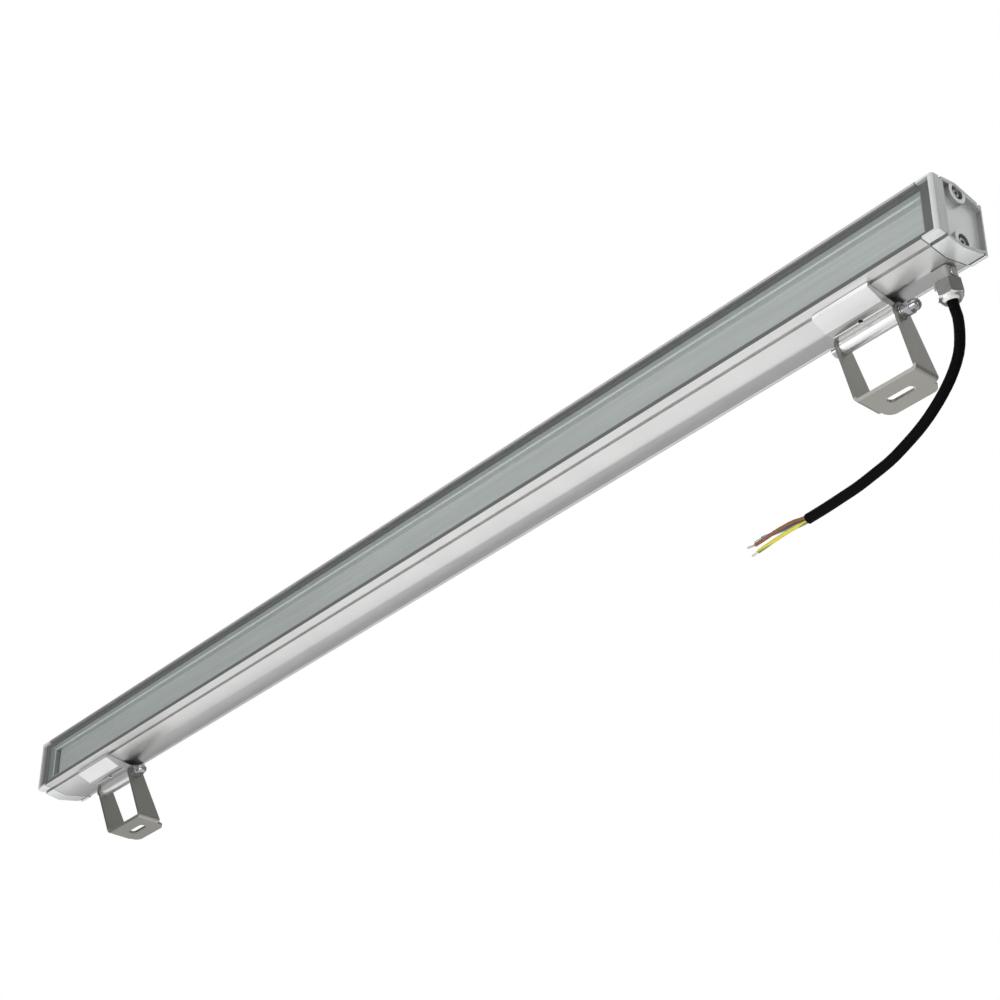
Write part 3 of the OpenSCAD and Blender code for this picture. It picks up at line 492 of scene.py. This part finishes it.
# Window frame: a flanged aluminium ring, anodised dark grey, set in the mouth of the extrusion and
# in a pocket of each cap. The front of the housing's lip below it is finished like the frame.
frame_dark = surface("dark anodised frame", (0.15, 0.155, 0.155), rough=0.5, metal=0.3)
frame_lines = grain(frame_dark, 900, stretch=(0.02, 1, 1))
vary_gloss(frame_dark, frame_lines, 0.45, 0.58)
relief(frame_dark, frame_lines, 0.01 * mm, strength=0.3)
softened("window_frame", "bezel", frame_dark, edge_round=0.2 * mm)
lip_middle = Vector((0, -65.7, 58.2)) * mm
lip_half_height = 1.4 * mm


def on_lower_lip(face):
    """Whether a face is the front of the housing's lip below the window."""
    away = face.center - lip_middle
    return face.normal.y < -0.9 and abs(away.y) < 0.6 * mm and abs(away.z) < lip_half_height


finish_or_shade(extrusion, frame_dark, on_lower_lip)

# Glass: a clear toughened pane, 5 mm thick, with a green tinge and ground edges. It lies in the
# frame, which presses it on its seal.
clear = surface("window glass", (0.9, 0.97, 0.95), rough=0.02)
tree = clear.node_tree
see_through = tree.nodes.new("ShaderNodeBsdfTransparent")
see_through.inputs["Color"].default_value = (0.955, 0.975, 0.97, 1)
gloss = tree.nodes.new("ShaderNodeBsdfGlossy")
gloss.inputs["Roughness"].default_value = 0.02
facing = tree.nodes.new("ShaderNodeLayerWeight")
facing.inputs["Blend"].default_value = 0.18
blend = tree.nodes.new("ShaderNodeMixShader")
mirrored = span(clear, facing.outputs["Facing"], 0.03, 0.5, from_low=0.0, from_high=1.0)
tree.links.new(mirrored, blend.inputs["Fac"])
tree.links.new(see_through.outputs["BSDF"], blend.inputs[1])
tree.links.new(gloss.outputs["BSDF"], blend.inputs[2])
tree.links.new(blend.outputs["Shader"], tree.nodes["Material Output"].inputs["Surface"])
ground = surface("ground glass edge", (0.42, 0.45, 0.44), rough=0.6)
ground_grain = grain(ground, 1800)
vary_colour(ground, ground_grain, (0.38, 0.41, 0.40), (0.45, 0.48, 0.47))
vary_gloss(ground, ground_grain, 0.5, 0.7)
low, high = (Vector(corner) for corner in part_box("glass"))
glass_size = Matrix.Diagonal((*(high - low), 1))
ground_edge = 0.4 * mm
pane_mesh = bmesh.new()
bmesh.ops.create_cube(pane_mesh, size=1, matrix=Matrix.Translation((low + high) / 2) @ glass_size)
bmesh.ops.bevel(pane_mesh, geom=list(pane_mesh.edges), offset=ground_edge, offset_type="OFFSET",
                segments=1, profile=0.5, affect="EDGES", clamp_overlap=True, material=-1)
for face in pane_mesh.faces:
    face.material_index = 0 if abs(face.normal.y) > 0.9 else 1
pane = finish_mesh(pane_mesh, "pane", smooth_deg=20)
pane.data.materials.append(clear)
pane.data.materials.append(ground)
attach(pane, "housing")
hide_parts("glass")

# Glass seal: a bead of pale silicone between the pane and the ledge of the extrusion. It shows
# through the glass as a light line along the upper side of the window.
silicone = matt("pale silicone", (0.80, 0.84, 0.82), rough=0.5, spread=(0.42, 0.58), speckles=500)
coat("glass_seal", silicone)

# Diffuser: a frosted plastic sheet, pushed into the slots of the extrusion in front of the light
# boards. Faint streaks run along it from its drawing.
frosted = surface("frosted sheet", (0.66, 0.665, 0.66), rough=0.5)
streaks = grain(frosted, 260, stretch=(0.03, 1, 1), detail=3)
vary_colour(frosted, streaks, (0.59, 0.595, 0.59), (0.69, 0.69, 0.685))
vary_gloss(frosted, streaks, 0.5, 0.62)
coat("diffuser", frosted)

# Light boards: white lacquered boards with a row of yellow light sources, screwed to the web of the
# extrusion and bridged by small ivory plugs.
board_white = matt("white board lacquer", (0.82, 0.83, 0.82), rough=0.4, spread=(0.35, 0.5),
                   speckles=600)
phosphor = matt("phosphor", (0.85, 0.66, 0.12), rough=0.5, spread=(0.4, 0.6), speckles=2500)
ivory = matt("ivory plastic", (0.78, 0.74, 0.62), rough=0.42, spread=(0.36, 0.5), speckles=900)
coat("led_boards", board_white)
coat("led_chips", phosphor)
coat("board_links", ivory)

# Driver and leads: a white driver case and an ivory terminal block, screwed to the back of the web
# and joined by thin insulated leads. The extrusion and its caps close all of it in.
case_white = matt("driver case", (0.80, 0.80, 0.79), rough=0.45, spread=(0.4, 0.52),
                  speckles=700)
lead_brown = insulation("brown lead", (0.16, 0.055, 0.025))
coat("driver", case_white)
coat("terminal_block", ivory)
coat("supply_leads", lead_brown)
coat("driver_leads", lead_brown)
coat("output_leads", insulation("red lead", (0.50, 0.03, 0.02)))

# Cable gland: nickel plated brass. A square satin adapter with a small side screw sits on its seal,
# and a hexagon nut with a bright rounded nose closes the rubber sleeve round the cable.
nickel = turned_metal("nickel plate", (0.60, 0.60, 0.585), rough=0.17)
# Painted shade: a darker copy of the nickel for the nut's facets that face along the lamp.
nickel_shade = turned_metal("painted shade nickel", (0.34, 0.34, 0.335), rough=0.3)
bright_nickel = turned_metal("polished nickel", (0.92, 0.92, 0.91), rough=0.12)
satin_nickel = surface("satin nickel", (0.40, 0.40, 0.39), rough=0.5, metal=0.2, specular=0.2)
vary_colour(satin_nickel, grain(satin_nickel, 120), (0.36, 0.36, 0.35), (0.42, 0.42, 0.41))
softened("gland_adapter", "adapter_block", satin_nickel, edge_round=0.35 * mm)
gland_nut = softened("gland_nut", "gland_hexagon", nickel,
                     edge_round=0.15 * mm)
# Painted shade on the nut's facets that face +X.
finish_or_shade(gland_nut, nickel_shade, lambda face: face.normal.x > 0.5)
finish_or_shade(gland_nut, bright_nickel, lambda face: 0.25 < face.normal.dot(out_of_slope) < 0.98)
softened("gland_screw", "adapter_screw", nickel, edge_round=0.4 * mm)

# Clamps: short extruded aluminium sections, bright anodised, that hook into both grooves, each
# with a flat band painted darker as shade and a black setting screw on its scored line.
bright_clamp = drawn_metal("bright clamp", (0.90, 0.90, 0.90), rough=0.32, along="X",
                           lines=300, spread=0.015, metal=0.9)
# Painted shade: a darker copy of the clamp metal, standing for the shade on its flat band.
clamp_band_shade = drawn_metal("painted shade clamp band", (0.50, 0.50, 0.49), rough=0.32, along="X",
                         lines=300, spread=0.015, metal=0.9)
dark_screw = turned_metal("black setting screw", (0.06, 0.06, 0.06), rough=0.4)
band_height = 44.6 * mm


def on_band(face):
    """Whether a face is the flat band below a clamp, level and higher up than its barrel, which is
    painted in shade.
    """
    return face.normal.z < -0.999 and face.center.z > band_height


for side in ("right", "left"):
    clamp = softened("clamp_" + side, "slider_" + side, bright_clamp,
                     edge_round=0.25 * mm)
    finish_or_shade(clamp, clamp_band_shade, on_band)
    coat("grub_screw_" + side, dark_screw)

# Feet: 2.5 mm stainless sheet, brushed and folded into a channel, with a slot for the fixing
# bolt. The edges of its legs are rougher, and painted darker than the faces as shade.
stainless = drawn_metal("brushed stainless", (0.40, 0.395, 0.365), rough=0.36, along="Z",
                        lines=1600, spread=0.04, depth_mm=0.004)
# Painted shade: a darker copy of the stainless for the front and back edges of the legs.
leg_edge_shade = drawn_metal("painted shade leg edge", (0.20, 0.20, 0.185), rough=0.45, along="X",
                      lines=1600, spread=0.04, depth_mm=0.004)
leg_foot = 4 * mm


def on_leg_edge(face):
    """Whether a face is the front or back edge of a leg, above the foot plate, which is painted in
    shade.
    """
    return abs(face.normal.y) > 0.5 and face.center.z > leg_foot


for side in ("right", "left"):
    foot = softened("bracket_" + side, "foot_" + side, stainless,
                    edge_round=0.3 * mm)
    finish_or_shade(foot, leg_edge_shade, on_leg_edge)

# Pivot hardware: a polished stainless socket bolt through each foot and clamp, with a flat washer,
# a spring washer and a domed cap nut.
polished = turned_metal("polished stainless", (0.47, 0.465, 0.48), rough=0.1)
spring_steel = turned_metal("spring steel", (0.40, 0.40, 0.40), rough=0.3)
for side in ("right", "left"):
    softened("pivot_bolt_" + side, "bolt_" + side, polished,
             edge_round=0.35 * mm)
    softened("pivot_washer_" + side, "washer_" + side, polished,
             edge_round=0.2 * mm)
    softened("spring_washer_" + side, "split_washer_" + side, spring_steel,
             edge_round=0.15 * mm)
    softened("cap_nut_" + side, "domed_nut_" + side, polished,
             edge_round=0.3 * mm)

# Studio floor: a round pale floor, 8.4 m across, well below the lamp. The underside of the lamp
# reflects it.
floor_radius = 4.2
floor_height = -1.6
floor_mesh = bmesh.new()
bmesh.ops.create_circle(floor_mesh, cap_ends=True, segments=128, radius=floor_radius)
bmesh.ops.translate(floor_mesh, verts=floor_mesh.verts, vec=(0, 0, floor_height))
floor = finish_mesh(floor_mesh, "floor")
floor.data.materials.append(surface("pale floor", (0.85, 0.85, 0.85), rough=0.8))

# Surround: plain white to the eye. What the metal reflects is a grey room, whose brightness goes
# by height from straight down, -1, to straight up, 1.
glow = {-0.3: 0.22, -0.05: 0.23, 0.2: 0.45, 0.4: 0.13, 0.62: 0.70, 1.0: 0.75}
world = bpy.data.worlds.new("studio")
bpy.context.scene.world = world
bpy.context.scene.view_settings.view_transform = "Standard"
world.use_nodes = True
sky = world.node_tree
backdrop = sky.nodes["Background"]
backdrop.inputs["Color"].default_value = (1, 1, 1, 1)
around = sky.nodes.new("ShaderNodeBackground")
look = sky.nodes.new("ShaderNodeTexCoord")
split = sky.nodes.new("ShaderNodeSeparateXYZ")
to_share = sky.nodes.new("ShaderNodeMapRange")
to_share.inputs["From Min"].default_value = -1
height_ramp = sky.nodes.new("ShaderNodeValToRGB")
seen = sky.nodes.new("ShaderNodeLightPath")
choose = sky.nodes.new("ShaderNodeMixShader")
sky.links.new(look.outputs["Generated"], split.inputs["Vector"])
sky.links.new(split.outputs["Z"], to_share.inputs["Value"])
sky.links.new(to_share.outputs["Result"], height_ramp.inputs["Fac"])
sky.links.new(height_ramp.outputs["Color"], around.inputs["Color"])
sky.links.new(seen.outputs["Is Camera Ray"], choose.inputs["Fac"])
sky.links.new(around.outputs["Background"], choose.inputs[1])
sky.links.new(backdrop.outputs["Background"], choose.inputs[2])
sky.links.new(choose.outputs["Shader"], sky.nodes["World Output"].inputs["Surface"])
shares = [0.5 + height / 2 for height in glow]
stops = height_ramp.color_ramp.elements
stops[0].position = shares[0]
for share in shares[1:-1]:
    stops.new(share)
for stop, level in zip(stops, glow.values()):
    stop.color = (level, level, level, 1)


# Lights: a broad one high up behind the lamp brightens the floor that the underside reflects, and
# a weaker one low in front fills the side with the window.
def soft_light(name, place, aim, width, height, watts):
    """A soft rectangular light that the camera doesn't see."""
    lamp = bpy.data.lights.new(name, "AREA")
    lamp.shape = "RECTANGLE"
    lamp.size = width
    lamp.size_y = height
    lamp.energy = watts
    shown = bpy.data.objects.new(name, lamp)
    shown.location = place
    shown.rotation_euler = (Vector(aim) - Vector(place)).to_track_quat("-Z", "Y").to_euler()
    shown.visible_camera = False
    bpy.context.scene.collection.objects.link(shown)


soft_light("overhead", place=(-1.8, 0.9, 2.2), aim=(-1.8, 0.9, -1.6),
           width=3.0, height=3.0, watts=95)
soft_light("front fill", place=(0.1, -2.4, -0.8), aim=(0, 0, 0.05),
           width=3.4, height=1.3, watts=32)
